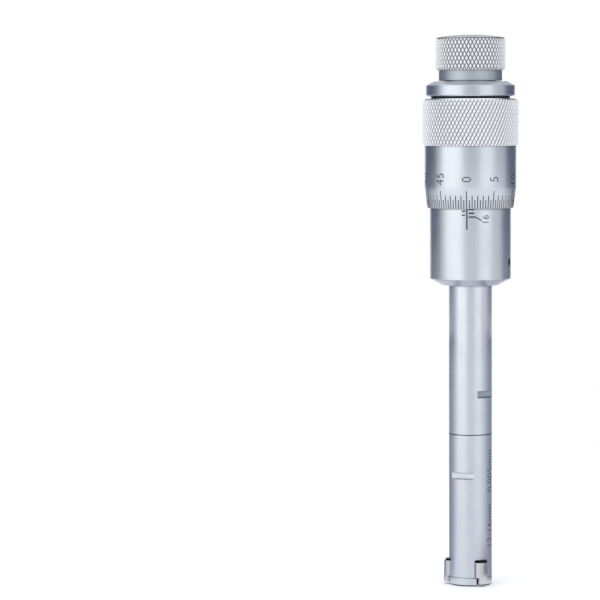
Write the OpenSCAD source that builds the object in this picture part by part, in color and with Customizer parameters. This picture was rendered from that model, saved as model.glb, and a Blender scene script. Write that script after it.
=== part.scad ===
// Three-point inside micrometer, standing on its measuring head, reading 14.00 mm.
// Millimetres, +Z up along the axis, origin at the centre of the end face.
// The scale side faces -Y.

/* [Shaft] */
// Diameter of the measuring head and of the extension tube
shaft_d = 11.4; // [11.2:0.1:11.6]
// Thickness of the end cap
cap_t = 2.2; // [2.1:0.1:2.4]
// Visible length of the measuring head
head_len = 37.95; // [34:0.05:44]
// Visible length of the extension tube
tube_len = 39.6; // [34:0.05:60]
// Chamfer at the end face
end_chamfer = 0.35; // [0.2:0.05:0.5]
// Distance across the spanner flats
flat_across = 9.4; // [9:0.1:9.8]
// Height of the spanner flats
flat_h = 1.85; // [1.4:0.05:2.5]
// Height of the head's flats above the end face
head_flat_z = 28.4; // [25:0.1:30]
// Height of the tube's flats above the joint line
tube_flat_z = 9.85; // [8:0.05:12]
// Turn of the head's flats, from the front to the right
head_flat_turn = -23; // [-45:1:45]
// Turn of the tube's flats, from the front to the right
tube_flat_turn = 53; // [30:1:75]

/* [Anvils] */
// Width of the anvils in the head
anvil_w = 3.6; // [3.4:0.1:3.8]
// Width of the anvil feet in the end cap
foot_w = 2.26; // [2:0.02:2.4]
// Radius of the measuring faces
nose_r = 2.3; // [2.1:0.1:2.6]
// Turn of the first anvil, from the front to the right
anvil_turn = 31; // [20:1:45]
// Thickness of the anvil springs
leaf_t = 0.4; // [0.3:0.05:0.45]
// Width of the anvil springs
leaf_w = 2.4; // [2:0.1:2.5]

/* [Sleeve] */
// Diameter of the graduated sleeve
sleeve_d = 21.4; // [21:0.1:21.6]
// Height of the conical underside
under_h = 1.75; // [1.5:0.05:2.6]
// Radius of the flat ring under the sleeve
under_r = 7.5; // [7:0.1:8.5]
// Length of the sleeve below the thimble
sleeve_show = 20.4; // [20:0.1:22]
// Height of the set screw above the bottom of the sleeve
set_screw_z = 6.1; // [5.5:0.1:7]
// Diameter of the set screw
set_screw_d = 2.4; // [2:0.1:3]
// Turn of the set screw, from the front to the right
set_screw_turn = 75; // [60:1:120]

/* [Thimble] */
// Diameter of the plain part of the thimble
thimble_d = 24.2; // [24:0.1:24.6]
// Diameter at the lower edge of the bevel
edge_d = 22.66; // [22.4:0.02:23]
// Height of the bevel with the scale
bevel_h = 5.4; // [4.5:0.1:6]
// Length of the plain part between bevel and knurl
plain_h = 11; // [10:0.1:13]
// Length of the knurled band
grip_h = 12.4; // [12:0.1:13.5]
// Diameter over the knurl of the thimble
grip_d = 25.3; // [25.1:0.1:25.9]
// Teeth around the knurl of the thimble
grip_teeth = 76; // [60:4:80]
// Staggered rows in the knurl of the thimble
grip_rows = 12; // [8:2:14]
// Depth of both knurls
knurl_depth = 0.35; // [0.25:0.05:0.4]
// Thickness of the black washer
washer_t = 0.6; // [0.4:0.1:1]
// Diameter of the black washer
washer_d = 20.8; // [19:0.1:22]
// Diameter of the plain collar
collar_d = 23.5; // [23:0.1:24.6]
// Height of the plain collar
collar_h = 3.9; // [3.6:0.1:5]

/* [Ratchet] */
// Diameter of the plain neck
neck_d = 16.7; // [16.5:0.1:17]
// Height of the neck
neck_h = 2.9; // [2.6:0.1:3.2]
// Diameter over the knurl of the knob
knob_d = 18.5; // [18.3:0.1:18.8]
// Height of the knurled part of the knob
knob_h = 8.4; // [8:0.1:9]
// Teeth around the knurl of the knob
knob_teeth = 56; // [44:2:60]
// Staggered rows in the knurl of the knob
knob_rows = 8; // [6:2:10]
// Height of the domed top
dome_h = 1; // [0.8:0.1:1.6]
// Teeth of the ratchet
ratchet_teeth = 18; // [12:1:20]

/* [Fits] */
// Radial clearance of the thimble over the sleeve
run_clr = 0.1; // [0.08:0.01:0.1]
// Clearance of the inner sliding fits
slide_clr = 0.06; // [0.05:0.01:0.08]
// Clearance of the fixed seats
seat_clr = 0.02; // [0.01:0.01:0.03]
// Gap below the ratchet knob
knob_gap = 0.2; // [0.15:0.05:0.3]
// Gap on each side of the anvil feet
foot_clr = 0.25; // [0.15:0.05:0.3]

/* [Hidden] */
$fn = 96;
eps = 0.05;

shaft_r = shaft_d / 2;
sleeve_r = sleeve_d / 2;
thimble_r = thimble_d / 2;
grip_r = grip_d / 2;
collar_r = collar_d / 2;
neck_r = neck_d / 2;
knob_r = knob_d / 2;

joint_z = cap_t + head_len;
sleeve_z = joint_z + tube_len;
thimble_z = sleeve_z + sleeve_show;
plain_z = thimble_z + bevel_h;
grip_z = plain_z + plain_h;
washer_z = grip_z + grip_h;
collar_z = washer_z + washer_t;
neck_z = collar_z + collar_h;
knob_z = neck_z + neck_h;
dome_z = knob_z + knob_h;
top_z = dome_z + dome_h;

// Measuring range: 0.5 mm of rise per turn, and half of it as radius at the anvils
reach_r = 7;
cone_slope = 0.5;
travel = 2;

// Cone and piston
cone_r = 3.55;
tip_r = 1.55;
cone_top_z = cap_t + 5.4;
cone_tip_z = cone_top_z - (cone_r - tip_r) / cone_slope;
piston_top_z = cap_t + 13.8;
rod_r = 1.5;
bore_r = cone_r + slide_clr;
bore_top_z = cap_t + 19.8;

// Anvils
anvil_top_z = cap_t + 4.15;
slot_top_z = anvil_top_z + leaf_t + 0.2;
anvil_low_z = cap_t + 0.1;
foot_low_z = 0.65;
face_low_z = cap_t + 2.4;
face_low_r = cone_r - (cone_top_z - face_low_z) * cone_slope + slide_clr;
face_top_r = cone_r - (cone_top_z - anvil_top_z) * cone_slope + slide_clr;
stem_w = 2.8;
block_r = 3;
foot_in_r = 3.6;
nose_c = reach_r - nose_r;
peg_u = 5;
peg_r = 0.45;
anvil_turns = [anvil_turn, anvil_turn + 120, anvil_turn + 240];

// Anvil springs
leaf_u = cone_r + 0.1;
leaf_top_z = cap_t + 18.3;
leaf_low_z = anvil_top_z + 0.04;
rivet_z = cap_t + 16.9;
rivet_r = 0.5;
rivet_end = leaf_u + leaf_t + 1;
groove_w = leaf_w + 0.3;
groove_low_r = leaf_u + leaf_t + travel * cone_slope + 0.1;
groove_floor_r = leaf_u + leaf_t + seat_clr;

// End cap
cap_screw_u = 4.45;
cap_screw_r = 0.55;
cap_head_r = 0.95;
cap_seat_z = 1;
cap_hub_r = 2.5;

// Joint between head and tube
spigot_r = 4.3;
spigot_h = 6.5;
tube_bore_r = 3.5;
joint_gap = 0.16;

// Push rod and return spring
coil_top_z = joint_z + 20.5;
collar_rod_h = 2;
ball_r = 1.5;
cup_r = 2.3;

// Barrel inside the sleeve
web_t = 2.7;
barrel_z = sleeve_z + web_t;
sleeve_wall = 2.7;
barrel_r = sleeve_r - sleeve_wall;
tube_spigot_r = 5;
tube_top_z = barrel_z + 6.5;
ball_z = tube_top_z + 5.5;
spindle_low_z = ball_z + ball_r + slide_clr;
spindle_r = 3.15;
nut_low_z = thimble_z + 4.5;
neck_step = 2;
barrel_neck_r = barrel_r - neck_step;
nut_h = 4.5;

// Thimble seat
thimble_roof = 4.5;
bore_top_thimble_z = washer_z - thimble_roof;
seat_r = 4;
stud_r = 2.5;
tail_r = 1.5;
shoulder_r = 5.2;
shoulder_h = 3.5;
shoulder_low_z = bore_top_thimble_z - shoulder_h;
end_room = 0.3;
barrel_top_z = shoulder_low_z - travel - end_room;
neck_low_z = barrel_top_z - nut_h - 1.5;
sleeve_top_z = barrel_top_z + 1.5;

// Ratchet
hub_r = 6.6;
post_r = 2.5;
hub_t = 1.5;
tooth_h = 0.45;
disc_t = 1.4;
cavity_r = 7;
rim_step = 0.2;
roof_z = dome_z - 3.3;
screw_seat_z = dome_z - 1.4;
post_top_z = screw_seat_z + 0.15;
screw_head_r = 3.2;
hub_z = neck_z + seat_clr;
hub_top_z = hub_z + hub_t;
disc_low_z = hub_top_z + 2 * tooth_h + slide_clr;

// Turns to an azimuth, counted from the front to the right
module toward(turn) {
  rotate(turn - 90) children();
}

// Solid of revolution from a profile of radius and height
module turned(profile) {
  rotate_extrude() polygon(profile);
}

// Block along +X, centred across
module bar(from, to, width, low, high) {
  translate([from, -width / 2, low]) cube([to - from, width, high - low]);
}

// Ring with diamond knurling outside and a plain bore
module knurled_ring(teeth, rows, inner, root, crest, low, height) {
  cols = 2 * teeth;
  step = 360 / cols;
  rise = height / rows;
  base = (rows + 1) * cols;
  outer = [
    for (j = [0 : rows])
      for (i = [0 : cols - 1])
        let (r = j > 0 && j < rows && (i + j) % 2 == 1 ? crest : root)
          [r * cos(i * step), r * sin(i * step), low + j * rise]
  ];
  bore = [
    for (k = [0 : 1])
      for (i = [0 : cols - 1])
        [inner * cos(i * step), inner * sin(i * step), low + k * height]
  ];
  skin = [
    for (j = [0 : rows - 1])
      for (i = [0 : cols - 1])
        let (a = j * cols + i)
        let (b = j * cols + (i + 1) % cols)
        let (c = b + cols)
        let (d = a + cols)
          each (i + j) % 2 == 0 ? [[a, d, c], [a, c, b]] : [[a, d, b], [d, c, b]]
  ];
  ends = [
    for (i = [0 : cols - 1])
      let (n = (i + 1) % cols)
      let (t = rows * cols)
        each [
          [base + i, base + n, base + cols + n, base + cols + i],
          [i, n, base + n, base + i],
          [t + i, base + cols + i, base + cols + n, t + n]
        ]
  ];
  polyhedron(points = concat(outer, bore), faces = concat(skin, ends), convexity = 10);
}

// Helical wire between two heights
module coil(mean_r, wire_r, turns, low, high) {
  sides = 8;
  steps = 20 * turns;
  points = [
    for (s = [0 : steps])
      for (k = [0 : sides - 1])
        let (a = 360 * turns * s / steps)
        let (t = 360 * k / sides)
        let (r = mean_r + wire_r * cos(t))
          [r * cos(a), r * sin(a), low + (high - low) * s / steps + wire_r * sin(t)]
  ];
  skin = [
    for (s = [0 : steps - 1])
      for (k = [0 : sides - 1])
        let (n = (k + 1) % sides)
        let (a = s * sides + k)
        let (b = (s + 1) * sides + k)
        let (c = (s + 1) * sides + n)
        let (d = s * sides + n)
          each [[a, d, c], [a, c, b]]
  ];
  first = [for (k = [0 : sides - 1]) sides - 1 - k];
  last = [for (k = [0 : sides - 1]) steps * sides + k];
  polyhedron(points = points, faces = concat(skin, [first], [last]), convexity = 10);
}

// Face teeth of the ratchet, rising along the turn
module face_teeth() {
  for (i = [0 : ratchet_teeth - 1])
    rotate(i * 360 / ratchet_teeth)
      translate([4.2, 0, 0])
        rotate([90, 0, 90])
          linear_extrude(height = 2.2)
            polygon([[0, -0.2], [1.15, -0.2], [1.15, tooth_h], [0.95, tooth_h], [0, 0]]);
}

// Pair of spanner flats
module flats(turn, low) {
  for (side = [0, 180])
    toward(turn + side)
      bar(flat_across / 2, shaft_r + 1, 2 * shaft_r, low, low + flat_h);
}

module measuring_head() {
  color([0.74, 0.78, 0.82])
  difference() {
    turned([
      [0, cap_t],
      [shaft_r - 0.1, cap_t],
      [shaft_r, cap_t + 0.1],
      [shaft_r, joint_z - 0.06],
      [shaft_r - 0.06, joint_z],
      [spigot_r, joint_z],
      [spigot_r, joint_z + spigot_h - 0.4],
      [spigot_r - 0.4, joint_z + spigot_h],
      [0, joint_z + spigot_h]
    ]);
    translate([0, 0, cap_t - eps]) cylinder(r = bore_r, h = bore_top_z - cap_t + eps);
    translate([0, 0, cap_t]) cylinder(r = rod_r + 0.1, h = head_len + 2 * spigot_h);
    for (t = anvil_turns)
      toward(t) {
        bar(1, shaft_r + 1, anvil_w + 2 * slide_clr, cap_t - eps, slot_top_z);
        rotate([90, 0, 0])
          linear_extrude(height = groove_w, center = true)
            polygon([
              [3, slot_top_z - eps],
              [groove_low_r, slot_top_z - eps],
              [groove_floor_r, rivet_z - 1.6],
              [groove_floor_r, leaf_top_z + 0.2],
              [3, leaf_top_z + 0.2]
            ]);
        translate([3, 0, rivet_z])
          rotate([0, 90, 0])
            cylinder(r = rivet_r + seat_clr, h = rivet_end + seat_clr - 3);
      }
    for (t = anvil_turns)
      toward(t + 60)
        translate([cap_screw_u, 0, cap_t - eps])
          cylinder(r = cap_screw_r + seat_clr, h = 4.5);
    flats(head_flat_turn, head_flat_z);
  }
}

module end_cap() {
  color([0.74, 0.78, 0.82])
  difference() {
    turned([
      [0, 0],
      [shaft_r - end_chamfer, 0],
      [shaft_r, end_chamfer],
      [shaft_r, cap_t - 0.12],
      [shaft_r - 0.12, cap_t],
      [0, cap_t]
    ]);
    translate([0, 0, cap_t - 0.9]) cylinder(r = 1.95, h = 1);
    for (t = anvil_turns)
      toward(t)
        bar(cap_hub_r, shaft_r + 1, foot_w + 2 * foot_clr, -eps, cap_t + eps);
    for (t = anvil_turns)
      toward(t + 60)
        translate([cap_screw_u, 0, -eps]) {
          cylinder(r = cap_screw_r + 0.07, h = cap_t + 2 * eps);
          cylinder(r = cap_head_r + 0.05, h = cap_seat_z + eps);
        }
  }
}

module cap_screws() {
  color([0.55, 0.56, 0.58])
  for (t = anvil_turns)
    toward(t + 60)
      translate([cap_screw_u, 0, 0])
        difference() {
          union() {
            translate([0, 0, 0.15]) cylinder(r = cap_head_r, h = cap_seat_z - 0.15);
            translate([0, 0, cap_seat_z - eps]) cylinder(r = cap_screw_r, h = 5.2);
          }
          translate([-1.5, -0.15, 0]) cube([3, 0.3, 0.5]);
        }
}

module spring_rivets() {
  color([0.6, 0.55, 0.42])
  for (t = anvil_turns)
    toward(t)
      translate([0, 0, rivet_z])
        rotate([0, 90, 0]) {
          translate([0, 0, leaf_u - 0.45]) cylinder(r = 1, h = 0.43);
          translate([0, 0, leaf_u - 0.1]) cylinder(r = rivet_r, h = rivet_end - leaf_u + 0.1);
        }
}

module extension_tube() {
  color([0.74, 0.78, 0.82])
  difference() {
    turned([
      [tube_bore_r, joint_z],
      [shaft_r - 0.5, joint_z],
      [shaft_r - 0.5, joint_z + joint_gap],
      [shaft_r - 0.06, joint_z + joint_gap],
      [shaft_r, joint_z + joint_gap + 0.06],
      [shaft_r, barrel_z - seat_clr],
      [tube_spigot_r, barrel_z - seat_clr],
      [tube_spigot_r, tube_top_z - 0.3],
      [tube_spigot_r - 0.3, tube_top_z],
      [tube_bore_r, tube_top_z]
    ]);
    translate([0, 0, joint_z - eps])
      cylinder(r = spigot_r + seat_clr, h = spigot_h + eps + seat_clr);
    flats(tube_flat_turn, joint_z + tube_flat_z);
  }
}

module rod_guide() {
  color([0.72, 0.52, 0.28])
  turned([
    [rod_r + slide_clr, tube_top_z - 8],
    [tube_bore_r - seat_clr, tube_top_z - 8],
    [tube_bore_r - seat_clr, tube_top_z],
    [rod_r + slide_clr, tube_top_z]
  ]);
}

module barrel() {
  color([0.66, 0.68, 0.7])
  difference() {
    turned([
      [spindle_r + slide_clr, nut_low_z],
      [3.8, nut_low_z - 0.6],
      [3.8, tube_top_z + seat_clr],
      [tube_spigot_r + seat_clr, tube_top_z + seat_clr],
      [tube_spigot_r + seat_clr, barrel_z],
      [barrel_r, barrel_z],
      [barrel_r, neck_low_z],
      [barrel_neck_r, neck_low_z],
      [barrel_neck_r, barrel_top_z - 0.4],
      [barrel_neck_r - 0.4, barrel_top_z],
      [spindle_r + slide_clr, barrel_top_z]
    ]);
    for (t = [0, 120, 240])
      rotate(t) bar(1, 7, 0.6, neck_low_z + 0.5, barrel_top_z + 1);
  }
}

module adjusting_nut() {
  color([0.5, 0.51, 0.53])
  difference() {
    turned([
      [barrel_neck_r + seat_clr, neck_low_z + 0.5],
      [barrel_r - 0.2, neck_low_z + 0.5],
      [barrel_r - 0.2, barrel_top_z - 1],
      [barrel_neck_r + seat_clr, barrel_top_z - 1]
    ]);
    bar(-9, 9, 1.2, barrel_top_z - 2.2, barrel_top_z);
  }
}

module graduated_sleeve() {
  color([0.76, 0.8, 0.84])
  difference() {
    turned([
      [shaft_r + slide_clr, sleeve_z],
      [under_r, sleeve_z],
      [sleeve_r, sleeve_z + under_h],
      [sleeve_r, sleeve_top_z - 0.3],
      [sleeve_r - 0.3, sleeve_top_z],
      [barrel_r + seat_clr, sleeve_top_z],
      [barrel_r + seat_clr, barrel_z - seat_clr],
      [shaft_r + slide_clr, barrel_z - seat_clr]
    ]);
    toward(set_screw_turn)
      translate([barrel_r - 1, 0, sleeve_z + set_screw_z])
        rotate([0, 90, 0])
          cylinder(d = set_screw_d + 2 * seat_clr, h = sleeve_r);
  }
}

module sleeve_set_screw() {
  color([0.12, 0.12, 0.13])
  toward(set_screw_turn)
    translate([0, 0, sleeve_z + set_screw_z])
      rotate([0, 90, 0])
        difference() {
          translate([0, 0, barrel_r + seat_clr])
            cylinder(d = set_screw_d, h = sleeve_r - barrel_r - 0.7);
          translate([0, 0, sleeve_r - 1.7])
            cylinder(d = 0.6 * set_screw_d, h = 2, $fn = 6);
        }
}

module return_spring() {
  color([0.45, 0.47, 0.5])
  coil(2.3, 0.35, 8, joint_z + spigot_h + 0.37, coil_top_z - 0.37);
}

module measuring_cone() {
  color([0.62, 0.63, 0.64])
  difference() {
    turned([
      [0, cone_tip_z],
      [tip_r, cone_tip_z],
      [cone_r, cone_top_z],
      [cone_r, piston_top_z - 0.3],
      [cone_r - 0.3, piston_top_z],
      [0, piston_top_z]
    ]);
    translate([0, 0, piston_top_z - 4.8]) cylinder(r = rod_r + seat_clr, h = 5);
    for (t = anvil_turns)
      toward(t)
        bar(2.35, cone_r + 1, groove_w + 0.2, cone_top_z + 0.3, piston_top_z + 1);
  }
}

module push_rod() {
  color([0.64, 0.65, 0.67])
  difference() {
    union() {
      translate([0, 0, piston_top_z - 4.75])
        cylinder(r = rod_r, h = ball_z - piston_top_z + 3);
      translate([0, 0, ball_z - 2.5]) cylinder(r = cup_r, h = 2.1);
    }
    translate([0, 0, ball_z]) sphere(r = ball_r + seat_clr);
  }
}

module spring_collar() {
  color([0.55, 0.56, 0.58])
  turned([
    [rod_r + seat_clr, coil_top_z],
    [2.9, coil_top_z],
    [2.9, coil_top_z + collar_rod_h],
    [rod_r + seat_clr, coil_top_z + collar_rod_h]
  ]);
}

module thrust_ball() {
  color([0.8, 0.8, 0.82])
  translate([0, 0, ball_z]) sphere(r = ball_r);
}

// Anvil with its measuring face to +X
module anvil() {
  color([0.68, 0.66, 0.63])
  difference() {
    union() {
      intersection() {
        bar(block_r, reach_r + 1, anvil_w, anvil_low_z, anvil_top_z);
        union() {
          bar(block_r, nose_c, anvil_w, anvil_low_z, anvil_top_z);
          translate([nose_c, 0, anvil_low_z]) cylinder(r = nose_r, h = anvil_top_z - anvil_low_z);
        }
      }
      intersection() {
        bar(foot_in_r, reach_r + 1, foot_w, foot_low_z, anvil_low_z + 0.5);
        union() {
          bar(foot_in_r, nose_c, foot_w, foot_low_z, anvil_low_z + 0.5);
          translate([nose_c, 0, foot_low_z]) cylinder(r = nose_r, h = anvil_low_z + 0.5 - foot_low_z);
        }
      }
      bar(face_low_r, block_r + 0.5, stem_w, anvil_low_z, anvil_top_z);
      translate([peg_u, 0, anvil_top_z - 0.2]) cylinder(r = peg_r, h = 0.2 + leaf_t);
    }
    rotate([90, 0, 0])
      linear_extrude(height = anvil_w + 1, center = true)
        polygon([
          [face_low_r - 1, face_low_z],
          [face_low_r, face_low_z],
          [face_top_r + cone_slope, anvil_top_z + 1],
          [face_low_r - 1, anvil_top_z + 1]
        ]);
  }
}

module anvil_1() {
  toward(anvil_turns[0]) anvil();
}

module anvil_2() {
  toward(anvil_turns[1]) anvil();
}

module anvil_3() {
  toward(anvil_turns[2]) anvil();
}

// Leaf spring with its foot to +X
module anvil_spring() {
  color([0.1, 0.11, 0.14])
  difference() {
    union() {
      bar(leaf_u, nose_c + 1.9, leaf_w, leaf_low_z, leaf_low_z + leaf_t);
      bar(leaf_u, leaf_u + leaf_t, leaf_w, leaf_low_z, leaf_top_z);
    }
    translate([peg_u, 0, leaf_low_z - eps])
      cylinder(r = peg_r + 0.05, h = leaf_t + 2 * eps);
    translate([leaf_u - eps, 0, rivet_z])
      rotate([0, 90, 0])
        cylinder(r = rivet_r + 0.05, h = leaf_t + 2 * eps);
  }
}

module anvil_spring_1() {
  toward(anvil_turns[0]) anvil_spring();
}

module anvil_spring_2() {
  toward(anvil_turns[1]) anvil_spring();
}

module anvil_spring_3() {
  toward(anvil_turns[2]) anvil_spring();
}

module spindle() {
  color([0.64, 0.65, 0.67])
  difference() {
    turned([
      [0, spindle_low_z],
      [2.4, spindle_low_z],
      [2.6, spindle_low_z + 0.2],
      [2.6, spindle_low_z + 2],
      [spindle_r, spindle_low_z + 2.6],
      [spindle_r, shoulder_low_z],
      [shoulder_r, shoulder_low_z],
      [shoulder_r, bore_top_thimble_z - seat_clr],
      [seat_r, bore_top_thimble_z - seat_clr],
      [seat_r, washer_z - 0.1],
      [stud_r, washer_z - 0.1],
      [stud_r, neck_z - 0.2],
      [0, neck_z - 0.2]
    ]);
    translate([0, 0, washer_z - 2]) cylinder(r = tail_r + seat_clr, h = 8);
  }
}

module thimble() {
  color([0.77, 0.81, 0.85])
  union() {
    turned([
      [sleeve_r + run_clr, thimble_z],
      [edge_d / 2, thimble_z],
      [thimble_r, plain_z],
      [thimble_r, washer_z - 0.3],
      [thimble_r - 0.3, washer_z],
      [seat_r + seat_clr, washer_z],
      [seat_r + seat_clr, bore_top_thimble_z],
      [sleeve_r + run_clr, bore_top_thimble_z]
    ]);
    knurled_ring(
      grip_teeth, grip_rows, thimble_r - 0.6,
      grip_r - knurl_depth, grip_r, grip_z, grip_h - 0.35);
  }
}

module spacer_washer() {
  color([0.05, 0.05, 0.06])
  turned([
    [6, washer_z + seat_clr],
    [washer_d / 2, washer_z + seat_clr],
    [washer_d / 2, collar_z - seat_clr],
    [6, collar_z - seat_clr]
  ]);
}

module end_collar() {
  color([0.76, 0.8, 0.84])
  turned([
    [stud_r + seat_clr, collar_z],
    [collar_r - 0.3, collar_z],
    [collar_r, collar_z + 0.3],
    [collar_r, neck_z - 1.1],
    [collar_r - 2.1, neck_z],
    [stud_r + seat_clr, neck_z]
  ]);
}

module ratchet_hub() {
  color([0.6, 0.61, 0.63])
  difference() {
    union() {
      translate([0, 0, hub_z]) cylinder(r = hub_r, h = hub_t);
      translate([0, 0, hub_z]) cylinder(r = post_r, h = post_top_z - hub_z);
      translate([0, 0, washer_z - 1.5]) cylinder(r = tail_r, h = hub_z - washer_z + 2);
      translate([0, 0, hub_top_z]) face_teeth();
    }
    translate([0, 0, post_top_z - 6]) cylinder(r = 1, h = 7);
  }
}

module ratchet_screw() {
  color([0.5, 0.51, 0.53])
  difference() {
    union() {
      translate([0, 0, post_top_z + seat_clr]) cylinder(r = screw_head_r, h = 1.7);
      translate([0, 0, post_top_z - 5.8]) cylinder(r = 1 - seat_clr, h = 6.2);
    }
    translate([-5, -0.4, post_top_z + 0.9]) cube([10, 0.8, 2]);
  }
}

module ratchet_knob() {
  color([0.77, 0.81, 0.85])
  difference() {
    union() {
      translate([0, 0, neck_z + knob_gap]) cylinder(r = neck_r, h = neck_h);
      translate([0, 0, knob_z + 0.1]) cylinder(r = knob_r - 0.6, h = knob_h + 0.2);
      knurled_ring(
        knob_teeth, knob_rows, neck_r - 0.25,
        knob_r - knurl_depth, knob_r, knob_z, knob_h - 0.1);
      intersection() {
        translate([0, 0, dome_z + 0.05]) cylinder(r = knob_r - rim_step, h = dome_h);
        translate([0, 0, top_z - dome_round()]) sphere(r = dome_round());
      }
    }
    translate([0, 0, neck_z]) cylinder(r = cavity_r, h = roof_z - neck_z);
    translate([0, 0, neck_z]) cylinder(r = post_r + slide_clr, h = knob_h + neck_h);
    translate([0, 0, screw_seat_z]) cylinder(r = screw_head_r + 0.2, h = 5);
    bar(-cavity_r - 0.75, cavity_r + 0.75, 2.1, neck_z, roof_z - 1);
  }
}

module ratchet_disc() {
  color([0.6, 0.61, 0.63])
  difference() {
    union() {
      translate([0, 0, disc_low_z]) cylinder(r = hub_r, h = disc_t);
      bar(-cavity_r - 0.6, cavity_r + 0.6, 2, disc_low_z, disc_low_z + disc_t);
      translate([0, 0, disc_low_z]) mirror([0, 0, 1]) face_teeth();
    }
    translate([0, 0, disc_low_z - 1]) cylinder(r = post_r + slide_clr, h = disc_t + 2);
  }
}

module ratchet_spring() {
  color([0.45, 0.47, 0.5])
  coil(4.6, 0.4, 3, disc_low_z + disc_t + 0.42, roof_z - 0.42);
}

// Radius of the domed top
function dome_round() =
  let (rise = dome_h - rim_step)
    (pow(knob_r - rim_step, 2) + rise * rise) / (2 * rise);

measuring_head();
end_cap();
cap_screws();
spring_rivets();
extension_tube();
rod_guide();
barrel();
adjusting_nut();
graduated_sleeve();
sleeve_set_screw();
return_spring();
measuring_cone();
push_rod();
spring_collar();
thrust_ball();
anvil_1();
anvil_2();
anvil_3();
anvil_spring_1();
anvil_spring_2();
anvil_spring_3();
spindle();
thimble();
spacer_washer();
end_collar();
ratchet_hub();
ratchet_screw();
ratchet_knob();
ratchet_disc();
ratchet_spring();
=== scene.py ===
import math

import bmesh
import bpy
from mathutils import Matrix, Vector


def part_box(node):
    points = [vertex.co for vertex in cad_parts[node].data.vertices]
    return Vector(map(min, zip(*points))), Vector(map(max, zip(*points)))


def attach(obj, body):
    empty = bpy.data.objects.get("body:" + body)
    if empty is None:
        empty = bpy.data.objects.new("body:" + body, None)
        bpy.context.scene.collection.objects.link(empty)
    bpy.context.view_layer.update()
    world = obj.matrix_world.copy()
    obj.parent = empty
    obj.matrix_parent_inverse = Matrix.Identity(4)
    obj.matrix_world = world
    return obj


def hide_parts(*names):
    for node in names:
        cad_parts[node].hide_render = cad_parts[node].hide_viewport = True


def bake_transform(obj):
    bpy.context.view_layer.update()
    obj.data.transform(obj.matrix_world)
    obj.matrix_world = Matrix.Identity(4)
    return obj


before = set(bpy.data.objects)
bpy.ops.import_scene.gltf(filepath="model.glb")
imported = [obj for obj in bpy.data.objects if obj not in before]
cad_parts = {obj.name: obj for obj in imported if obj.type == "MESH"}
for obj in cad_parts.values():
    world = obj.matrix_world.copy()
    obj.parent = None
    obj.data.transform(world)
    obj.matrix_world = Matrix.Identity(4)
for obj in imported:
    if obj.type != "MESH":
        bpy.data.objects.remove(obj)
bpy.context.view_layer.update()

MM = 0.001

# Sizes shared with the solids, in millimetres
BEVEL_H = 5.4
PLAIN_H = 11.0
GRIP_H = 12.4
EDGE_D = 22.66
THIMBLE_D = 24.2
GRIP_D = 25.3
GRIP_TEETH = 76
GRIP_ROWS = 12
KNURL_DEPTH = 0.35
HUB_BORE_R = 4.02
ROOF = 4.5
NECK_H = 2.9
NECK_D = 16.7
KNOB_D = 18.5
KNOB_TEETH = 56
KNOB_ROWS = 8
KNOB_H = 8.4
KNOB_BORE_R = 7.0
KNOB_ROOF = 3.3
KNOB_GAP = 0.2
DOME_H = 1.0
SINK_R = 3.4
SINK_DEPTH = 1.4
POST_BORE_R = 2.56
RIM = 0.2
RUN_CLR = 0.1
JOINT_GAP = 0.16


def span(node):
    """Lowest and highest corner of a node, in millimetres."""
    low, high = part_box(node)
    return [v / MM for v in low], [v / MM for v in high]


THIMBLE_Z = span("thimble")[0][2]
SLEEVE_R = span("graduated_sleeve")[1][0]
SHAFT_R = span("extension_tube")[1][0]
JOINT_Z = span("extension_tube")[0][2]

# Grain of metals and paper, as repeats for each metre
CLOUD_GRAIN = (170, 170, 110)
FINE_GRAIN = (9000, 9000, 9000)
LATHE_GRAIN = (260, 260, 16000)
UPRIGHT_GRAIN = (12000, 12000, 150)
PAPER_GRAIN = (40, 40, 40)

# Bands of grain, crest and corner shade that are stretched, and what the grain does
CLOUD_BAND = (0.3, 0.7)
GRAIN_BAND = (0.25, 0.75)
CREST_BAND = (0.1, 0.75)
CORNER_BAND = (0.35, 0.95)
CLOUD_ROUGHNESS = (-0.02, 0.03)
GRAIN_ROUGHNESS = 0.09
BUMP_STRENGTH = 0.35
BUMP_HEIGHT = 0.012


# Materials
def new_material(name):
    material = bpy.data.materials.new(name)
    material.use_nodes = True
    tree = material.node_tree
    return material, tree, tree.nodes["Principled BSDF"]


def object_place(tree):
    return tree.nodes.new("ShaderNodeTexCoord").outputs["Object"]


def grain(tree, coord, stretch, detail, rough):
    place = tree.nodes.new("ShaderNodeMapping")
    place.inputs["Scale"].default_value = stretch
    tree.links.new(coord, place.inputs["Vector"])
    noise = tree.nodes.new("ShaderNodeTexNoise")
    noise.inputs["Scale"].default_value = 1
    noise.inputs["Detail"].default_value = detail
    noise.inputs["Roughness"].default_value = rough
    tree.links.new(place.outputs["Vector"], noise.inputs["Vector"])
    return noise.outputs["Fac"]


def ranged(tree, value, band, low=0, high=1):
    """Value that goes from low to high over the band."""
    node = tree.nodes.new("ShaderNodeMapRange")
    node.inputs["From Min"].default_value = band[0]
    node.inputs["From Max"].default_value = band[1]
    node.inputs["To Min"].default_value = low
    node.inputs["To Max"].default_value = high
    tree.links.new(value, node.inputs["Value"])
    return node.outputs["Result"]


def mixed(tree, factor, first, second):
    """Colour between two colours, each given as numbers or as an output socket."""
    node = tree.nodes.new("ShaderNodeMix")
    node.data_type = "RGBA"
    for place, colour in ((6, first), (7, second)):
        if isinstance(colour, tuple):
            node.inputs[place].default_value = (*colour, 1)
        else:
            tree.links.new(colour, node.inputs[place])
    tree.links.new(factor, node.inputs[0])
    return node.outputs[2]


def added(tree, first, second):
    node = tree.nodes.new("ShaderNodeMath")
    node.operation = "ADD"
    tree.links.new(first, node.inputs[0])
    tree.links.new(second, node.inputs[1])
    return node.outputs[0]


def attribute(tree, name):
    node = tree.nodes.new("ShaderNodeAttribute")
    node.attribute_name = name
    return node.outputs["Fac"]


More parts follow.
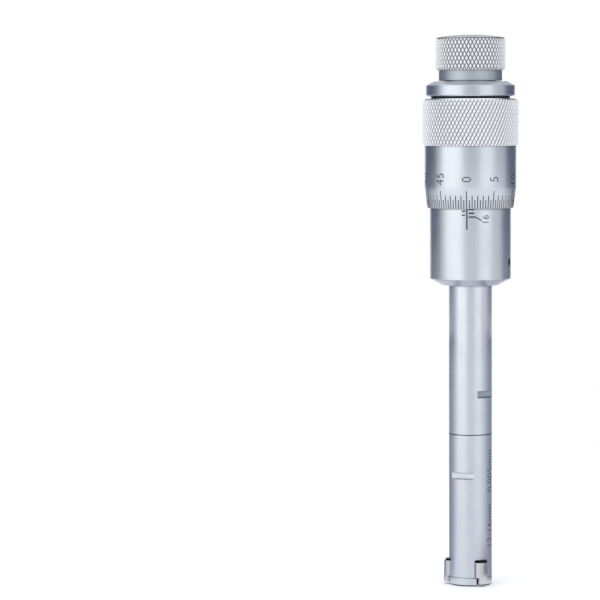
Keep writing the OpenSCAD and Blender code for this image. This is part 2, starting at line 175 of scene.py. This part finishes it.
# Ambient occlusion as a mask, for painting shade into corners and gaps
def corner_shade(tree, reach):
    node = tree.nodes.new("ShaderNodeAmbientOcclusion")
    node.samples = 12
    node.inputs["Distance"].default_value = reach * MM
    return node.outputs["AO"]


def rounded_normal(tree, radius):
    node = tree.nodes.new("ShaderNodeBevel")
    node.samples = 4
    node.inputs["Radius"].default_value = radius * MM
    return node.outputs["Normal"]


def finish_metal(name, light, dark, rough, tooling, blast, metallic=1.0, rounding=0.0,
                 painted_shade=None, reach=0.6, groove_shade=None, upright=False):
    """Metal with a cloudy tone, fine grain and tool lines, with painted shade in its corners and, when
    given, in its knurl grooves.
    """
    material, tree, shader = new_material(name)
    shader.inputs["Metallic"].default_value = metallic
    coord = object_place(tree)
    cloud = grain(tree, coord, CLOUD_GRAIN, detail=3, rough=0.6)
    fine = grain(tree, coord, FINE_GRAIN, detail=2, rough=0.5)
    turned = grain(tree, coord, UPRIGHT_GRAIN if upright else LATHE_GRAIN, detail=2, rough=0.6)
    tone = mixed(tree, ranged(tree, cloud, CLOUD_BAND), light, dark)
    # Painted shade in knurl grooves: the groove shade colour where the crest height is low
    if groove_shade:
        tone = mixed(tree, ranged(tree, attribute(tree, "crest"), CREST_BAND), groove_shade, tone)
    # Painted shade: the tone turns to the shade colour where corners are occluded
    if painted_shade:
        tone = mixed(tree, ranged(tree, corner_shade(tree, reach), CORNER_BAND), painted_shade, tone)
    tree.links.new(tone, shader.inputs["Base Color"])
    relief = added(
        tree,
        ranged(tree, fine, GRAIN_BAND, -0.5 * blast, 0.5 * blast),
        ranged(tree, turned, GRAIN_BAND, -0.5 * tooling, 0.5 * tooling))
    wear = added(
        tree,
        ranged(tree, cloud, CLOUD_BAND, rough + CLOUD_ROUGHNESS[0], rough + CLOUD_ROUGHNESS[1]),
        ranged(tree, relief, (-1, 1), -GRAIN_ROUGHNESS, GRAIN_ROUGHNESS))
    tree.links.new(wear, shader.inputs["Roughness"])
    bump = tree.nodes.new("ShaderNodeBump")
    bump.inputs["Strength"].default_value = BUMP_STRENGTH
    bump.inputs["Distance"].default_value = BUMP_HEIGHT * MM
    tree.links.new(relief, bump.inputs["Height"])
    if rounding:
        tree.links.new(rounded_normal(tree, rounding), bump.inputs["Normal"])
    tree.links.new(bump.outputs["Normal"], shader.inputs["Normal"])
    return material


# Colour of the shade painted into corners, recesses and gaps
CORNER_SHADE_TONE = (0.07, 0.075, 0.09)
CHROME = finish_metal(
    "satin_chrome", (0.725, 0.755, 0.79), (0.685, 0.72, 0.76), rough=0.30, tooling=0.6, blast=0.7,
    rounding=0.16, painted_shade=CORNER_SHADE_TONE)
# Darker, rougher copy of the satin chrome for the knob's neck: painted shade under the knob
SHADED = finish_metal(
    "shaded_chrome", (0.53, 0.575, 0.61), (0.49, 0.535, 0.575), rough=0.48, tooling=0.8, blast=0.7,
    painted_shade=CORNER_SHADE_TONE, reach=0.4)
# Near-white knurl, whose grooves get painted shade by crest height
KNURL = finish_metal(
    "knurled_chrome", (0.97, 0.975, 0.985), (0.94, 0.95, 0.965), rough=0.34, tooling=0.2, blast=0.6,
    metallic=0.15, groove_shade=(0.12, 0.13, 0.155))
STEEL = finish_metal(
    "tool_steel", (0.56, 0.57, 0.58), (0.48, 0.49, 0.50), rough=0.28, tooling=0.9, blast=0.3)
HARD = finish_metal(
    "hardened_steel", (0.76, 0.76, 0.765), (0.68, 0.68, 0.685), rough=0.18, tooling=0.9, blast=0.3,
    rounding=0.1, painted_shade=CORNER_SHADE_TONE, reach=1.2, upright=True)
BLUED = finish_metal(
    "blued_spring", (0.022, 0.024, 0.032), (0.012, 0.013, 0.018), rough=0.36, tooling=0.2, blast=0.6)
WIRE = finish_metal(
    "spring_wire", (0.42, 0.43, 0.45), (0.33, 0.34, 0.36), rough=0.3, tooling=0.2, blast=0.6)
SCREW = finish_metal(
    "screw_steel", (0.38, 0.39, 0.41), (0.29, 0.30, 0.32), rough=0.32, tooling=0.4, blast=0.6, rounding=0.05)
# Black oxide of the set screw, also used as painted shade in the joint gap
OXIDE_AND_SHADE = finish_metal(
    "black_oxide", (0.006, 0.006, 0.007), (0.003, 0.003, 0.004), rough=0.7, tooling=0.2, blast=0.8,
    metallic=0.2)
WASHER = finish_metal(
    "black_washer", (0.012, 0.012, 0.013), (0.006, 0.006, 0.007), rough=0.55, tooling=0.6, blast=0.8,
    metallic=0.0)
BRONZE = finish_metal(
    "bronze", (0.52, 0.33, 0.13), (0.42, 0.25, 0.09), rough=0.32, tooling=0.8, blast=0.3)
INK = finish_metal(
    "engraving_black", (0.020, 0.020, 0.022), (0.010, 0.010, 0.011), rough=0.6, tooling=0.1, blast=0.9,
    metallic=0.0)
SOFT_INK = finish_metal(
    "engraving_grey", (0.060, 0.061, 0.064), (0.042, 0.043, 0.046), rough=0.6, tooling=0.1, blast=0.9,
    metallic=0.0)

FINISHED_NODES = [
    (CHROME, ("measuring_head", "end_cap", "extension_tube", "graduated_sleeve", "thimble",
              "end_collar", "ratchet_knob")),
    (STEEL, ("barrel", "push_rod", "spindle", "ratchet_hub", "ratchet_disc")),
    (HARD, ("measuring_cone", "thrust_ball", "anvil_1", "anvil_2", "anvil_3")),
    (BLUED, ("anvil_spring_1", "anvil_spring_2", "anvil_spring_3")),
    (WIRE, ("return_spring", "ratchet_spring")),
    (SCREW, ("cap_screws", "adjusting_nut", "spring_collar", "ratchet_screw")),
    (OXIDE_AND_SHADE, ("sleeve_set_screw",)),
    (WASHER, ("spacer_washer",)),
    (BRONZE, ("spring_rivets", "rod_guide")),
]
for finish, nodes in FINISHED_NODES:
    for node in nodes:
        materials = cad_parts[node].data.materials
        materials.clear()
        materials.append(finish)


# Meshes, with their steps round and up, and their creases in degrees
LATHE_STEPS = 256
LATHE_CREASE = 24
KNURL_CREASE = 28
TOOTH_COLUMNS = 10
ROW_LINES = 5
RUN_OUT = 3.0


def linked(name, data):
    made = bpy.data.objects.new(name, data)
    bpy.context.collection.objects.link(made)
    return made


def piece(name, points, faces, material, body, crease=None):
    """Piece of the object from points in millimetres, smooth up to the angle of the crease."""
    mesh = bpy.data.meshes.new(name)
    mesh.from_pydata([tuple(c * MM for c in p) for p in points], [], faces)
    mesh.validate()
    mesh.materials.append(material)
    if crease is not None:
        for face in mesh.polygons:
            face.use_smooth = True
        mesh.set_sharp_from_angle(angle=math.radians(crease))
    made = linked(name, mesh)
    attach(made, body)
    return made


def at(radius, turn, z):
    """Point at a turn in degrees, which is 0 at the front and grows to the right."""
    a = math.radians(turn - 90)
    return (radius * math.cos(a), radius * math.sin(a), z)


def lathe(name, profile, material, body):
    """Turned ring with a closed profile of radii and heights."""
    count = len(profile)
    points = [at(r, 360 * s / LATHE_STEPS, z) for s in range(LATHE_STEPS) for r, z in profile]
    faces = []
    for s in range(LATHE_STEPS):
        n = (s + 1) % LATHE_STEPS
        for k in range(count):
            m = (k + 1) % count
            faces.append((s * count + k, n * count + k, n * count + m, s * count + m))
    return piece(name, points, faces, material, body, LATHE_CREASE)


def knurl(name, teeth, rows, crest, low, high, inner, body, steep, cut=None, faint=0.0, faint_turn=0):
    """Diamond knurl, whose lower end may be chamfered over the height and depth of cut.

    The grooves that lean left are shallower than the others by the share faint, most of all at faint_turn.
    The crest height is kept for the material, which paints shade into the grooves, lighter in the shallower
    ones.
    """
    cols = teeth * TOOTH_COLUMNS
    lines = rows * ROW_LINES
    root = crest - KNURL_DEPTH
    points = []
    crests = []
    for j in range(lines + 1):
        v = j / ROW_LINES
        z = low + (high - low) * j / lines
        limit = crest
        if cut and z - low < cut[0]:
            limit -= cut[1] * (1 - (z - low) / cut[0])
        end = min(1.0, RUN_OUT * min(j, lines - j) / ROW_LINES)
        for i in range(cols):
            u = i / TOOTH_COLUMNS
            turn = 360 * i / cols
            leaning_left = min(1.0, steep * (0.5 - abs((u + v / 2) % 1 - 0.5)))
            leaning_right = min(1.0, steep * (0.5 - abs((u - v / 2) % 1 - 0.5)))
            filled = faint * (0.5 + 0.5 * math.cos(math.radians(turn - faint_turn)))
            rise = min(leaning_left + filled * (1 - leaning_left), leaning_right)
            points.append(at(min(root + KNURL_DEPTH * rise * end, limit), turn, z))
            crests.append(rise)
    base = len(points)
    for z in (low, high):
        points += [at(inner, 360 * i / cols, z) for i in range(cols)]
    faces = []
    for j in range(lines):
        for i in range(cols):
            n = (i + 1) % cols
            faces.append((j * cols + i, j * cols + n, (j + 1) * cols + n, (j + 1) * cols + i))
    top = lines * cols
    for i in range(cols):
        n = (i + 1) % cols
        faces.append((n, i, base + i, base + n))
        faces.append((top + i, top + n, base + cols + n, base + cols + i))
        faces.append((base + n, base + i, base + cols + i, base + cols + n))
    made = piece(name, points, faces, KNURL, body, KNURL_CREASE)
    # Crest height, with which the knurl material paints shade into the grooves
    height = made.data.attributes.new("crest", "FLOAT", "POINT")
    height.data.foreach_set("value", crests + [0.0] * (len(points) - base))


# Thimble, with the soft corners of its profile
EDGE_CUT = 0.08
EDGE_SOFT = 0.02
BEVEL_SOFT = 0.015
PLAIN_SOFT = 0.05
TOP_CUT = 0.36
TOP_FLAT = 0.3
GRIP_TOP = 0.35
BAND_SINK = 0.2
GRIP_STEEP = 3.6
GRIP_FAINT = 0.45
FAINT_TURN = 70

plain_z = THIMBLE_Z + BEVEL_H
grip_z = plain_z + PLAIN_H
washer_z = grip_z + GRIP_H
wide = THIMBLE_D / 2
edge = EDGE_D / 2
bore = SLEEVE_R + RUN_CLR
thimble_body = lathe("thimble_body", [
    (bore, THIMBLE_Z),
    (edge - EDGE_CUT, THIMBLE_Z),
    (edge - EDGE_SOFT, THIMBLE_Z + EDGE_SOFT),
    (edge, THIMBLE_Z + EDGE_CUT),
    (wide - BEVEL_SOFT, plain_z - EDGE_CUT),
    (wide, plain_z + PLAIN_SOFT),
    (wide, washer_z - TOP_CUT),
    (wide - EDGE_SOFT, washer_z - TOP_FLAT),
    (wide - TOP_FLAT, washer_z - EDGE_SOFT),
    (wide - TOP_CUT, washer_z),
    (HUB_BORE_R, washer_z),
    (HUB_BORE_R, washer_z - ROOF),
    (bore, washer_z - ROOF),
], CHROME, "thimble")
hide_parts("thimble")
knurl("thimble_knurl", GRIP_TEETH, GRIP_ROWS, GRIP_D / 2, grip_z, washer_z - GRIP_TOP, wide - BAND_SINK,
      "thimble", steep=GRIP_STEEP, faint=GRIP_FAINT, faint_turn=FAINT_TURN)

# Knob
DOME_STEPS = 12
NECK_WALL = 0.3
CORE_SINK = 0.6
CORE_LIFT = 0.02
DOME_LIFT = 0.05
KNURL_TOP = 0.1
KNOB_CUT = (0.5, 0.75)
KNOB_STEEP = 3.2

neck_z = span("end_collar")[1][2]
foot_z = neck_z + KNOB_GAP
knob_z = neck_z + NECK_H
dome_z = knob_z + KNOB_H
neck = NECK_D / 2
core = KNOB_D / 2 - CORE_SINK
dome_r = KNOB_D / 2 - RIM
swell = (dome_r ** 2 + (DOME_H - RIM) ** 2) / (2 * (DOME_H - RIM))
dome = []
for step in range(DOME_STEPS + 1):
    r = dome_r - (dome_r - SINK_R) * step / DOME_STEPS
    dome.append((r, dome_z + DOME_H - swell + math.sqrt(swell ** 2 - r ** 2)))
knob_body = lathe("knob_body", [
    (KNOB_BORE_R, foot_z),
    (neck - NECK_WALL, foot_z),
    (neck - NECK_WALL, knob_z + CORE_LIFT),
    (core, knob_z + CORE_LIFT),
    (core, dome_z + DOME_LIFT),
    (dome_r - DOME_LIFT, dome_z + DOME_LIFT),
    (dome_r, dome_z + 2 * DOME_LIFT),
    *dome,
    (SINK_R, dome_z - SINK_DEPTH),
    (POST_BORE_R, dome_z - SINK_DEPTH),
    (POST_BORE_R, dome_z - KNOB_ROOF),
    (KNOB_BORE_R, dome_z - KNOB_ROOF),
], CHROME, "ratchet")
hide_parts("ratchet_knob")
# Neck in the darker chrome copy, which paints the shade under the knob
lathe("knob_neck", [
    (neck - NECK_WALL, foot_z),
    (neck - EDGE_CUT, foot_z),
    (neck, foot_z + EDGE_CUT),
    (neck, knob_z + NECK_WALL),
    (neck - NECK_WALL, knob_z + NECK_WALL),
], SHADED, "ratchet")
knurl("knob_knurl", KNOB_TEETH, KNOB_ROWS, KNOB_D / 2, knob_z, dome_z - KNURL_TOP, neck - BAND_SINK,
      "ratchet", steep=KNOB_STEEP, cut=KNOB_CUT)

# Dark ring in the joint between head and tube, which paints the shade in its gap
LINE_DEPTH = 0.3
LINE_SINK = 0.03
LINE_PLAY = 0.01

line_low = JOINT_Z + LINE_PLAY
line_high = JOINT_Z + JOINT_GAP - LINE_PLAY
lathe("joint_line", [
    (SHAFT_R - LINE_DEPTH, line_low),
    (SHAFT_R - LINE_SINK, line_low),
    (SHAFT_R - LINE_SINK, line_high),
    (SHAFT_R - LINE_DEPTH, line_high),
], OXIDE_AND_SHADE, "frame")

# Copies of the springs, with the anvil leaves cut across between root and foot
LEAF_ROOT = 3.5
LEAF_FOOT = 0.5
LEAF_CUTS = 12


def bisect(form, place, normal):
    """Cut all of a mesh along a plane, and keep both sides."""
    everything = form.verts[:] + form.edges[:] + form.faces[:]
    bmesh.ops.bisect_plane(form, geom=everything, plane_co=place, plane_no=normal)


def cut_across(mesh, start_z, end_z, cuts):
    """Level cuts from one height to another, so that a flat piece can bend there."""
    form = bmesh.new()
    form.from_mesh(mesh)
    for k in range(cuts + 1):
        where = (start_z + (end_z - start_z) * k / cuts) * MM
        bisect(form, (0, 0, where), (0, 0, 1))
    form.to_mesh(mesh)
    form.free()
    shading = mesh.attributes.get("custom_normal")
    if shading:
        mesh.attributes.remove(shading)
    for face in mesh.polygons:
        face.use_smooth = False


def flexing(name, node, fixed_z, moved_z, cuts=0):
    """Copy of a spring in place of its node, cut across from one height to the other when cuts are given."""
    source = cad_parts[node]
    mesh = source.data.copy()
    mesh.name = name
    mesh.transform(source.matrix_world)
    if cuts:
        cut_across(mesh, fixed_z, moved_z, cuts)
    made = linked(name, mesh)
    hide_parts(node)
    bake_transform(made)


for k in (1, 2, 3):
    leaf_z = span(f"anvil_spring_{k}")[0][2]
    flexing(f"anvil_leaf_{k}", f"anvil_spring_{k}",
            leaf_z + LEAF_ROOT, leaf_z + LEAF_FOOT, LEAF_CUTS)
coil_low, coil_high = span("return_spring")
flexing("return_coil", "return_spring", coil_low[2], coil_high[2])

# Engraved lines and numbers, with the index line at the turn of the scale
SCALE_TURN = -5.0
INK_LIFT = 0.012
ARC_STEP = 0.3
LETTER_THINNING = -0.01
LETTER_STRIPS = 8


def flat_words(text):
    """Flat mesh of a text, as a bmesh."""
    curve = bpy.data.curves.new("words", "FONT")
    curve.body = text
    curve.size = 1
    curve.offset = LETTER_THINNING
    curve.resolution_u = 4
    made = linked("words", curve)
    bpy.context.view_layer.update()
    flat = bpy.data.meshes.new_from_object(made)
    bpy.data.objects.remove(made)
    bpy.data.curves.remove(curve)
    form = bmesh.new()
    form.from_mesh(flat)
    bpy.data.meshes.remove(flat)
    return form


class Wrap:
    """Flat marks laid on a turned surface of the given radius at each height."""

    def __init__(self, radius):
        self.radius = radius
        self.points = []
        self.faces = []

    def spot(self, turn, x, z):
        r = self.radius(z) + INK_LIFT
        self.points.append(at(r, turn + math.degrees(x / r), z))

    def stroke(self, turn, x_a, z_a, x_b, z_b, width):
        """Straight line between two places, which are given as a way round from the turn and a height."""
        length = math.hypot(x_b - x_a, z_b - z_a)
        side_x = -(z_b - z_a) / length * width / 2
        side_z = (x_b - x_a) / length * width / 2
        cuts = max(1, int(abs(x_b - x_a) / ARC_STEP) + 1)
        start = len(self.points)
        for k in range(cuts + 1):
            x = x_a + (x_b - x_a) * k / cuts
            z = z_a + (z_b - z_a) * k / cuts
            for side in (-1, 1):
                self.spot(turn, x + side * side_x, z + side * side_z)
        for k in range(cuts):
            a = start + 2 * k
            self.faces.append((a, a + 1, a + 3, a + 2))

    def words(self, turn, x, z, text, height, stretch=1.0):
        """Text that reads upwards, centred on the given place."""
        form = flat_words(text)
        low = [min(v.co[k] for v in form.verts) for k in (0, 1)]
        high = [max(v.co[k] for v in form.verts) for k in (0, 1)]
        middle = [(low[k] + high[k]) / 2 for k in (0, 1)]
        size = height / (high[1] - low[1])
        for strip in range(1, LETTER_STRIPS):
            where = low[1] + (high[1] - low[1]) * strip / LETTER_STRIPS
            bisect(form, (0, where, 0), (0, 1, 0))
        form.verts.index_update()
        start = len(self.points)
        for v in form.verts:
            along = (v.co[0] - middle[0]) * size * stretch
            across = (v.co[1] - middle[1]) * size
            self.spot(turn, x - across, z + along)
        for face in form.faces:
            self.faces.append(tuple(start + v.index for v in face.verts))
        form.free()

    def make(self, name, material, body):
        piece(name, self.points, self.faces, material, body)


# Scale of the thimble
THIMBLE_LINES = 100
NUMBERED = 10
NUMBERED_DROP = 0.7
EVEN_DROP = 1.95
ODD_DROP = 3.1
EDGE_MARGIN = 0.05
THIMBLE_STROKE = 0.22
NUMBER_RISE = 2.3
NUMBER_H = 2.45
NUMBER_STRETCH = 0.95


def bevel_radius(z):
    share = min(1, max(0, (z - THIMBLE_Z) / BEVEL_H))
    return (EDGE_D + (THIMBLE_D - EDGE_D) * share) / 2


marks = Wrap(bevel_radius)
numbers = Wrap(bevel_radius)
for line in range(THIMBLE_LINES):
    turn = SCALE_TURN + line * 360 / THIMBLE_LINES
    drop = ODD_DROP if line % 2 else EVEN_DROP
    if line % NUMBERED == 0:
        drop = NUMBERED_DROP
        numbers.words(turn, 0, plain_z + NUMBER_RISE, str(line // 2), NUMBER_H, NUMBER_STRETCH)
    marks.stroke(turn, 0, plain_z - drop, 0, THIMBLE_Z + EDGE_MARGIN, THIMBLE_STROKE)
marks.make("thimble_lines", INK, "thimble")
numbers.make("thimble_numbers", SOFT_INK, "thimble")

# Scale of the sleeve, with half millimetres on the left of the index line
SCALE_HALF = 2
SCALE_START = 0.12
SCALE_SIDE = 0.45
FULL_END = 1.95
HALF_END = 1.3
HALF_STEP = 0.5
FULL_STROKE = 0.36
HALF_STROKE = 0.32
INDEX_HIDDEN = 4
INDEX_SHOWN = 5.4
INDEX_STROKE = 0.36
LEADER_BEND = 2.3
LEADER_END = 3.9
LEADER_DROP = 0.95
LEVEL_STROKE = 0.3
SLANT_STROKE = 0.28
TOP_NUMBER_X = 5.0
TOP_NUMBER_DROP = 0.5
TOP_NUMBER_H = 1.75

scale = Wrap(lambda z: SLEEVE_R)
index = Wrap(lambda z: SLEEVE_R)
for step in range(-SCALE_HALF, SCALE_HALF + 1):
    z = THIMBLE_Z - SCALE_START - step
    scale.stroke(SCALE_TURN, SCALE_SIDE, z, FULL_END, z, FULL_STROKE)
    if step < SCALE_HALF:
        half_z = z - HALF_STEP
        scale.stroke(SCALE_TURN, -SCALE_SIDE, half_z, -HALF_END, half_z, HALF_STROKE)
last_z = THIMBLE_Z - SCALE_START - SCALE_HALF
scale.stroke(SCALE_TURN, FULL_END, last_z, LEADER_BEND, last_z, LEVEL_STROKE)
scale.stroke(SCALE_TURN, LEADER_BEND, last_z, LEADER_END, last_z - LEADER_DROP, SLANT_STROKE)
scale.words(SCALE_TURN, TOP_NUMBER_X, last_z - TOP_NUMBER_DROP, "16", TOP_NUMBER_H)
index.stroke(SCALE_TURN, 0, THIMBLE_Z + INDEX_HIDDEN, 0, THIMBLE_Z - INDEX_SHOWN, INDEX_STROKE)
scale.make("sleeve_scale", INK, "frame")
index.make("sleeve_index", SOFT_INK, "frame")

# Range and graduation on the head, with their heights
LABELS = ((30.5, "0.005mm"), (16.0, "12-16mm"))
LABEL_TURN = 63
LABEL_H = 2.1
LABEL_STRETCH = 0.99

label = Wrap(lambda z: SHAFT_R)
for z, text in LABELS:
    label.words(LABEL_TURN, 0, z, text, LABEL_H, LABEL_STRETCH)
label.make("head_range", SOFT_INK, "frame")

# Stage, in metres
BLACK = (0, 0, 0, 1)
WHITE = (1, 1, 1, 1)
DISC_STEPS = 96
FLOOR_R = 0.36
FLOOR_FADE = (0.15, 0.35)
PAPER_LIGHT = (0.93, 0.93, 0.93)
PAPER_DARK = (0.92, 0.92, 0.92)
PAPER_GLOW = 0.12
PAPER_REACH = 3.0
PAPER_Z = -0.0003
BEND_Y = 0.35
BEND_R = 0.25
BEND_STEPS = 16
WALL_TOP = 1.2
ROOM_R = 5


def staged(name, points, faces, material, smooth=True):
    mesh = bpy.data.meshes.new(name)
    mesh.from_pydata(points, [], faces)
    mesh.materials.append(material)
    for face in mesh.polygons:
        face.use_smooth = smooth
    made = linked(name, mesh)
    return made


def pale_paper(name, fade=None):
    """Pale paper, which may turn into lit white between two distances from the object."""
    material, tree, shader = new_material(name)
    shader.inputs["Roughness"].default_value = 0.9
    shader.inputs["Specular IOR Level"].default_value = 0.1
    shader.inputs["Emission Color"].default_value = WHITE
    shader.inputs["Emission Strength"].default_value = PAPER_GLOW
    coord = object_place(tree)
    fibre = grain(tree, coord, PAPER_GRAIN, detail=2, rough=0.5)
    tree.links.new(mixed(tree, fibre, PAPER_LIGHT, PAPER_DARK), shader.inputs["Base Color"])
    if fade:
        away = tree.nodes.new("ShaderNodeVectorMath")
        away.operation = "LENGTH"
        tree.links.new(coord, away.inputs[0])
        lit = tree.nodes.new("ShaderNodeEmission")
        both = tree.nodes.new("ShaderNodeMixShader")
        tree.links.new(ranged(tree, away.outputs["Value"], fade), both.inputs[0])
        tree.links.new(shader.outputs[0], both.inputs[1])
        tree.links.new(lit.outputs[0], both.inputs[2])
        tree.links.new(both.outputs[0], tree.nodes["Material Output"].inputs["Surface"])
    return material


def glowing(name):
    """Black material that gives off light, white as long as nothing else is set."""
    material, tree, shader = new_material(name)
    shader.inputs["Base Color"].default_value = BLACK
    shader.inputs["Specular IOR Level"].default_value = 0
    shader.inputs["Emission Color"].default_value = WHITE
    shader.inputs["Emission Strength"].default_value = 1
    return material, tree, shader


def ring_points(radius, height, steps):
    return [at(radius, 360 * k / steps, height) for k in range(steps)]


def floor():
    points = ring_points(FLOOR_R, 0.0, DISC_STEPS)
    staged("floor", points, [tuple(range(DISC_STEPS))], pale_paper("pale_floor", FLOOR_FADE))


def sweep():
    """Paper under and behind the object, which lights it and shows in the metal."""
    profile = [(-PAPER_REACH, PAPER_Z), (BEND_Y, PAPER_Z)]
    for k in range(1, BEND_STEPS + 1):
        a = math.radians(90 * k / BEND_STEPS)
        profile.append((BEND_Y + BEND_R * math.sin(a), BEND_R - BEND_R * math.cos(a)))
    profile.append((BEND_Y + BEND_R, WALL_TOP))
    count = len(profile)
    points = [(x, y, z) for x in (-PAPER_REACH, PAPER_REACH) for y, z in profile]
    faces = [(k, count + k, count + k + 1, k + 1) for k in range(count - 1)]
    made = staged("paper_sweep", points, faces, pale_paper("pale_paper"))
    made.visible_camera = False


def white_room():
    """Even white all round, for the camera alone."""
    form = bmesh.new()
    bmesh.ops.create_icosphere(form, subdivisions=3, radius=ROOM_R)
    form.verts.index_update()
    points = [tuple(v.co) for v in form.verts]
    faces = [tuple(v.index for v in f.verts) for f in form.faces]
    form.free()
    made = staged("white_room", points, faces, glowing("white_room")[0])
    made.visible_diffuse = False
    made.visible_glossy = False
    made.visible_transmission = False
    made.visible_volume_scatter = False
    made.visible_shadow = False


floor()
sweep()
white_room()

# Lights, in metres, degrees and watts
AIM = Vector((0, 0, 0.08))
SKY = (0.89, 0.925, 1.0, 1)
SKY_STRENGTH = 0.55


def soft_box(name, turn, distance, height, width, tall, power):
    lamp = bpy.data.lights.new(name, "AREA")
    lamp.shape = "RECTANGLE"
    lamp.size = width
    lamp.size_y = tall
    lamp.energy = power
    made = linked(name, lamp)
    made.location = at(distance, turn, height)
    made.rotation_euler = (AIM - made.location).to_track_quat("-Z", "Y").to_euler()
    made.visible_camera = False


soft_box("left_box", turn=-47.5, distance=0.55, height=0.30, width=0.66, tall=0.75, power=1.04)
soft_box("right_box", turn=42, distance=0.60, height=0.30, width=0.45, tall=0.75, power=0.50)
soft_box("top_box", turn=0, distance=0.02, height=0.95, width=1.0, tall=1.0, power=4)

world = bpy.data.worlds.new("studio")
bpy.context.scene.world = world
world.use_nodes = True
background = world.node_tree.nodes["Background"]
background.inputs["Color"].default_value = SKY
background.inputs["Strength"].default_value = SKY_STRENGTH

# Cards that show only in the metal
DUSK = (0.098, 0.124, 0.184)
HAZE = (0.30, 0.325, 0.41)
PALE = (0.80, 0.82, 0.88)
GREY = (0.48, 0.50, 0.54)
SLATE = (0.20, 0.203, 0.21)
SNOW = (0.85, 0.862, 0.93)
FLAG_STEPS = 24
CARD_STEPS = 48
CARD_R = 0.30
CARD_Z = 0.0004


def card(name, points, faces, shades, dark, light):
    """Card that is seen only in reflections, with shades from 0 for dark to 1 for light."""
    material, tree, shader = glowing(name)
    tree.links.new(mixed(tree, attribute(tree, "shade"), dark, light), shader.inputs["Emission Color"])
    made = staged(name, points, faces, material, smooth=False)
    shade = made.data.attributes.new("shade", "FLOAT", "POINT")
    shade.data.foreach_set("value", shades)
    made.visible_camera = False
    made.visible_diffuse = False
    made.visible_shadow = False
    made.visible_transmission = False


def flag(name, start, end, outline, dark, light, fade=1):
    """Curved card from one turn to another, light at the start and dark after the fade in degrees."""
    count = len(outline)
    points = []
    shades = []
    for k in range(FLAG_STEPS + 1):
        turn = start + (end - start) * k / FLAG_STEPS
        points += [at(radius, turn, height) for radius, height in outline]
        shades += [max(0.0, 1 - abs(turn - start) / fade)] * count
    faces = []
    for k in range(FLAG_STEPS):
        for row in range(count - 1):
            a = k * count + row
            faces.append((a, a + count, a + count + 1, a + 1))
    card(name, points, faces, shades, dark, light)


def floor_card():
    points = ring_points(CARD_R, CARD_Z, CARD_STEPS)
    card("floor_card", points, [tuple(range(CARD_STEPS))], [0.0] * CARD_STEPS, SNOW, SNOW)


# Outlines of the cards as radii and heights, in metres
UPPER = [(0.30, 0.045), (0.30, 0.45)]
LOWER = [(0.0065, 0.0008), (0.045, 0.0008), (0.045, 0.062)]
BEHIND = [(0.20, 0.152), (0.20, 0.32)]
BY_ANVILS = [(0.017, 0.0012), (0.044, 0.0012)]
flag("left_flag", -92, -152, UPPER, DUSK, DUSK)
flag("right_flag", 98, 156, UPPER, DUSK, DUSK)
flag("left_low_flag", -74, -152, LOWER, HAZE, PALE, fade=34)
flag("right_low_flag", 62, 156, LOWER, HAZE, PALE, fade=44)
flag("back_flag", 158, 202, BEHIND, GREY, GREY)
flag("anvil_flag", 14, 96, BY_ANVILS, SLATE, PALE, fade=54)
floor_card()

# Camera, with its focus and its shift from the object in pixels of the photo
PHOTO_WIDTH = 600
FOCUS = 2906
SHIFT_X = 170.75
SHIFT_Y = 184.7
ROLL = -0.21
DISTANCE = 0.770
EYE = 0.1247
SENSOR = 36

yaw = math.atan(SHIFT_X / FOCUS)
pitch = math.atan(SHIFT_Y / FOCUS)
camera = bpy.data.cameras.new("camera")
camera.sensor_width = SENSOR
camera.lens = SENSOR * FOCUS / PHOTO_WIDTH
camera.clip_start = 0.05
viewer = linked("camera", camera)
looking = Matrix.Rotation(yaw, 4, "Z") @ Matrix.Rotation(math.pi / 2 - pitch, 4, "X")
rolled = looking @ Matrix.Rotation(math.radians(ROLL), 4, "Z")
viewer.matrix_world = Matrix.Translation((0, -DISTANCE, EYE)) @ rolled
scene = bpy.context.scene
scene.camera = viewer
scene.view_settings.view_transform = "Standard"
